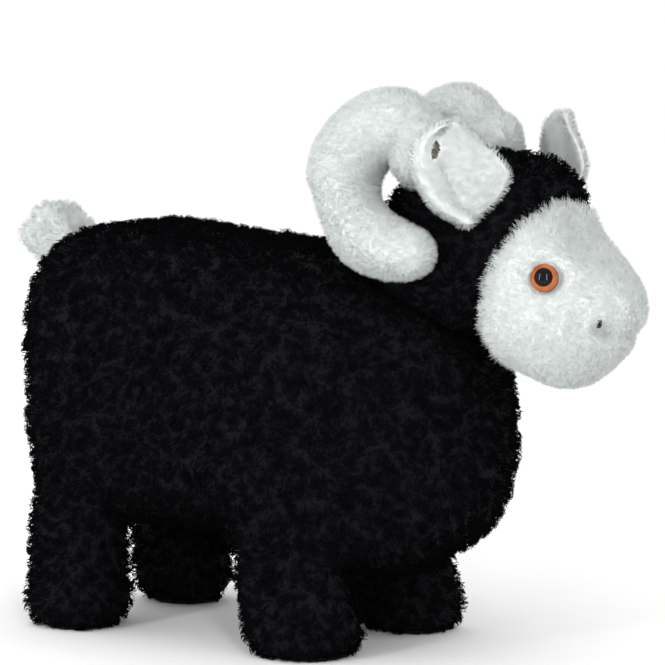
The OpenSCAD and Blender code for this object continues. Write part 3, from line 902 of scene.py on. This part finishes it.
def make_blocky(mesh):
    """Turns the round tail into a puffed block that stands on one corner."""
    points = points_of(mesh)
    centre = (points.max(axis=0) + points.min(axis=0)) / 2
    offset = points - centre
    turned = np.stack([offset[:, 0] + offset[:, 2], offset[:, 0] - offset[:, 2]], axis=1) / math.sqrt(2)
    turned = np.column_stack([np.abs(turned), np.abs(offset[:, 1])])
    block = (turned ** 5).sum(axis=1) ** 0.2
    ratio = np.linalg.norm(offset, axis=1) / block
    set_points(mesh, centre + offset * ratio[:, None] + [1 * MM, 0, -4 * MM])


make_blocky(tail.data)
swell(tail.data, -1 * MM)
tail_labels = nearest_node(points_of(tail.data), ["tail_upper", "tail_lower"])
finish_skin(tail, white_backing, "tail", "tail_stuffing")
grow(tail, ["tail_upper", "tail_lower"], tail_labels, TAIL_PILE, tail_lie, "tail", seed=600)


def ear_frame(side):
    """The hinge's place, its axis along the ear's width, the way out from the head, and up the ear."""
    joint = next(j for j in frame["joints"] if j["name"] == f"ear_flop_{side}")
    root = np.array(joint["pos_m"])
    width = unit(joint["axis"]) * (-1 if side == "left" else 1)
    tip = middle(f"ear_shell_{side}")
    up = unit((tip - root) - (tip - root) @ width * width)
    out = np.cross(up, width) * (1 if side == "left" else -1)
    return root, width, out, up


EAR_PILE = dict(WHITE_PILE, length=3.4 * MM)
EAR_HEIGHT = 54 * MM
# The leaf's foot from its hinge: along its width, up the ear, and out from the head.
EAR_FOOT = (7.5 * MM, -5 * MM, 1.5 * MM)
EAR_LEVEL = np.linspace(0, 1, 48)
# Half-widths of the leaf at heights from its root to its tip, in mm.
EAR_KNOTS = [0, 0.08, 0.18, 0.3, 0.42, 0.55, 0.68, 0.8, 0.92, 1]
EAR_REAR = [1, 4, 13, 17, 19.5, 21.5, 22, 21, 16, 7]
EAR_FRONT = [2, 9, 17, 23, 26, 23, 17, 10, 5, 1]
EAR_FLAP = 11 * MM
EAR_OPENING = np.array([-11, 41]) * MM


def ear_section(rear, front, flap):
    """Middle line across the leaf, along its width and outwards: over the back, then the flap."""
    bend = 2.6 * MM
    leaf = np.linspace(front, -rear + bend, 34)
    points = [(w, -3 * MM * (w / front if w > 0 else w / rear) ** 2) for w in leaf]
    depth = points[-1][1]
    for angle in np.linspace(0, math.pi, 9)[1:]:
        points.append((leaf[-1] - bend * math.sin(angle), depth + bend * (1 - math.cos(angle))))
    for share in np.linspace(0, 1, 10)[1:]:
        points.append((leaf[-1] + flap * share, depth + 2 * bend - 3 * MM * share ** 2))
    return np.array(points)


def ear_ring(rear, front, flap, thick):
    """Outline of the leaf's cross-section."""
    line = ear_section(rear, front, flap)
    along = unit(np.gradient(line, axis=0))
    out = np.stack([along[:, 1], -along[:, 0]], axis=1)
    share = np.linspace(0, 1, len(line))
    half = thick * (0.35 + 0.65 * np.sin(math.pi * share) ** 0.5)[:, None]
    return np.concatenate([line + out * half, (line - out * half)[::-1]])


def make_ear(side):
    """Leaf of plush, rounded along its length, with its rear edge folded forwards."""
    root, width, out, up = ear_frame(side)
    foot = root + EAR_FOOT[0] * width + EAR_FOOT[1] * up + EAR_FOOT[2] * out
    rear = np.interp(EAR_LEVEL, EAR_KNOTS, EAR_REAR) * MM
    front = np.interp(EAR_LEVEL, EAR_KNOTS, EAR_FRONT) * MM
    flap = EAR_FLAP * np.sin(math.pi * np.clip((EAR_LEVEL - 0.02) / 0.96, 0.02, 0.98)) ** 0.6
    rings = []
    for level, *sizes in zip(EAR_LEVEL, rear, front, flap):
        ring = ear_ring(*sizes, 2.2 * MM)
        lean_back = -5 * MM * level ** 2
        rings.append(
            foot + ring[:, :1] * width + (ring[:, 1:] + lean_back) * out + level * EAR_HEIGHT * up
        )
    name = f"ear_{side}_skin"
    obj = new_object(name, lofted(name, rings))
    relax(obj.data, 3)
    return obj


def opening_share(points, side):
    """1 in the middle of the dark opening at the top of the fold, below 0 outside it."""
    root, width, out, up = ear_frame(side)
    spot = points - root
    across = spot @ width - EAR_FOOT[0] - EAR_OPENING[0]
    along = spot @ up - EAR_FOOT[1] - EAR_OPENING[1]
    across -= 0.25 * along
    return 1 - (across / (2.4 * MM)) ** 2 - (along / (5 * MM)) ** 2


def make_opening(ear, side):
    """Pushes the opening in and gives it painted shade: dark brown for the shadow inside the fold."""
    out = ear_frame(side)[2]
    facing = normals_of(ear.data) @ out > 0.2
    share = np.maximum(opening_share(points_of(ear.data), side), 0) * facing
    set_points(ear.data, points_of(ear.data) - 1.8 * MM * share[:, None] * out)
    # Faces in the opening get the painted shade for the shadow inside the fold.
    ear.data.materials.append(opening_painted_shade)
    for face in ear.data.polygons:
        if share[list(face.vertices)].mean() > 0.15:
            face.material_index = 1


def ear_lie(side):
    """The pile is combed towards the tip of the ear."""
    up = ear_frame(side)[3]

    def lie(points):
        return up + 0.25 * wander(points, 25 * MM, 80)

    return lie


def clear_of_opening(side):
    """Leaves the dark opening showing."""
    out = ear_frame(side)[2]

    def keep(place, normal):
        return (opening_share(place, side) < -0.5) | (normal @ out < 0.2)

    return keep


for number, side in enumerate(SIDES):
    ear = make_ear(side)
    ear.data.materials.append(white_backing)
    make_opening(ear, side)
    panels = [f"ear_shell_{side}", f"ear_lining_{side}"]
    labels = nearest_node(points_of(ear.data), panels)
    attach(ear, f"ear_{side}")
    grow(
        ear, panels, labels, EAR_PILE, ear_lie(side), f"ear_{side}",
        seed=700 + 50 * number, keep=clear_of_opening(side),
    )


# ---------- Carried-over CAD nodes ----------

def repaint(node, material):
    """Gives a CAD node a material without changing its mesh."""
    mesh = frame["nodes"][node]
    for slot in mesh.material_slots:
        slot.link = "OBJECT"
        slot.material = material


for side in SIDES:
    repaint(f"eye_shank_{side}", shank_plastic)
    repaint(f"eye_washer_{side}", washer_plastic)
repaint("closing_stitches", thread)


# ---------- Floor, light and camera ----------

def make_floor():
    """Large pale sheet under the toy."""
    work = bmesh.new()
    bmesh.ops.create_grid(work, x_segments=8, y_segments=8, size=30)
    mesh = bpy.data.meshes.new("floor")
    work.to_mesh(mesh)
    work.free()
    paper = mottled_material("floor_paper", (0.96, 0.96, 0.96), (0.95, 0.95, 0.95), 0.9, 40, 0.2)
    mesh.materials.append(paper)
    new_object("floor", mesh)


def aim(obj, place, target):
    """Puts a lamp or the camera in its place, facing the target."""
    obj.location = place
    obj.rotation_euler = (Vector(target) - Vector(place)).to_track_quat("-Z", "Y").to_euler()


def around(azimuth, elevation, distance, target):
    """Place at a distance from the target, with azimuth 0 on the ram's right-hand side."""
    a, e = math.radians(azimuth), math.radians(elevation)
    way = Vector((math.sin(a) * math.cos(e), -math.cos(a) * math.cos(e), math.sin(e)))
    return Vector(target) + way * distance


TARGET = (0.0108, 0, 0.172)
CAMERA_AZIMUTH = 35.5
CAMERA_ELEVATION = 6.2
CAMERA_DISTANCE = 2.2
CAMERA_LENS = 214.2


def camera_place():
    return around(CAMERA_AZIMUTH, CAMERA_ELEVATION, CAMERA_DISTANCE, TARGET)


def make_camera():
    """The view from the ram's right-hand side, a little from the front."""
    data = bpy.data.cameras.new("camera")
    data.sensor_width = 36
    data.lens = CAMERA_LENS
    data.clip_end = 100
    camera = bpy.data.objects.new("camera", data)
    bpy.context.scene.collection.objects.link(camera)
    aim(camera, camera_place(), TARGET)
    bpy.context.scene.camera = camera


def lamp_from(name, place, target, width, height, power):
    """Rectangular lamp at a place, facing a target."""
    data = bpy.data.lights.new(name, "AREA")
    data.shape = "RECTANGLE"
    data.size = width
    data.size_y = height
    data.energy = power
    light = bpy.data.objects.new(name, data)
    bpy.context.scene.collection.objects.link(light)
    aim(light, place, target)


def make_sky_light(strength):
    """Very soft light from straight above."""
    data = bpy.data.lights.new("overhead", "SUN")
    data.energy = strength
    data.angle = math.radians(60)
    light = bpy.data.objects.new("overhead", data)
    bpy.context.scene.collection.objects.link(light)


def make_world(strength):
    """White surroundings, equally bright all round."""
    world = bpy.data.worlds.new("studio")
    world.use_nodes = True
    background = world.node_tree.nodes["Background"]
    background.inputs["Color"].default_value = (1, 1, 1, 1)
    background.inputs["Strength"].default_value = strength
    bpy.context.scene.world = world


STRIP_DISTANCE = 1.7
STRIP_WIDTH = 0.15
STRIP_HEIGHT = 1.2


def strip_for_eye(name, turn, power):
    """Tall lamp placed so that the near eye shows its reflection to one side of the pupil."""
    eye = eye_centre["right"]
    axis = Vector(unit(eye - middle("eye_washer_right")))
    axis.rotate(Euler((0, 0, math.radians(turn))))
    view = (camera_place() - Vector(eye)).normalized()
    way = 2 * axis.dot(view) * axis - view
    place = Vector(eye) + way * STRIP_DISTANCE
    lamp_from(name, place, Vector(eye), STRIP_WIDTH, STRIP_HEIGHT, power)


make_floor()
make_camera()
make_world(0.97)
make_sky_light(0.35)
lamp_from("fill", around(-30, 15, 3, TARGET), TARGET, width=2, height=2, power=5)
strip_for_eye("strip_left", turn=-12, power=10)
strip_for_eye("strip_right", turn=12, power=10)
bpy.context.scene.view_settings.view_transform = "Standard"
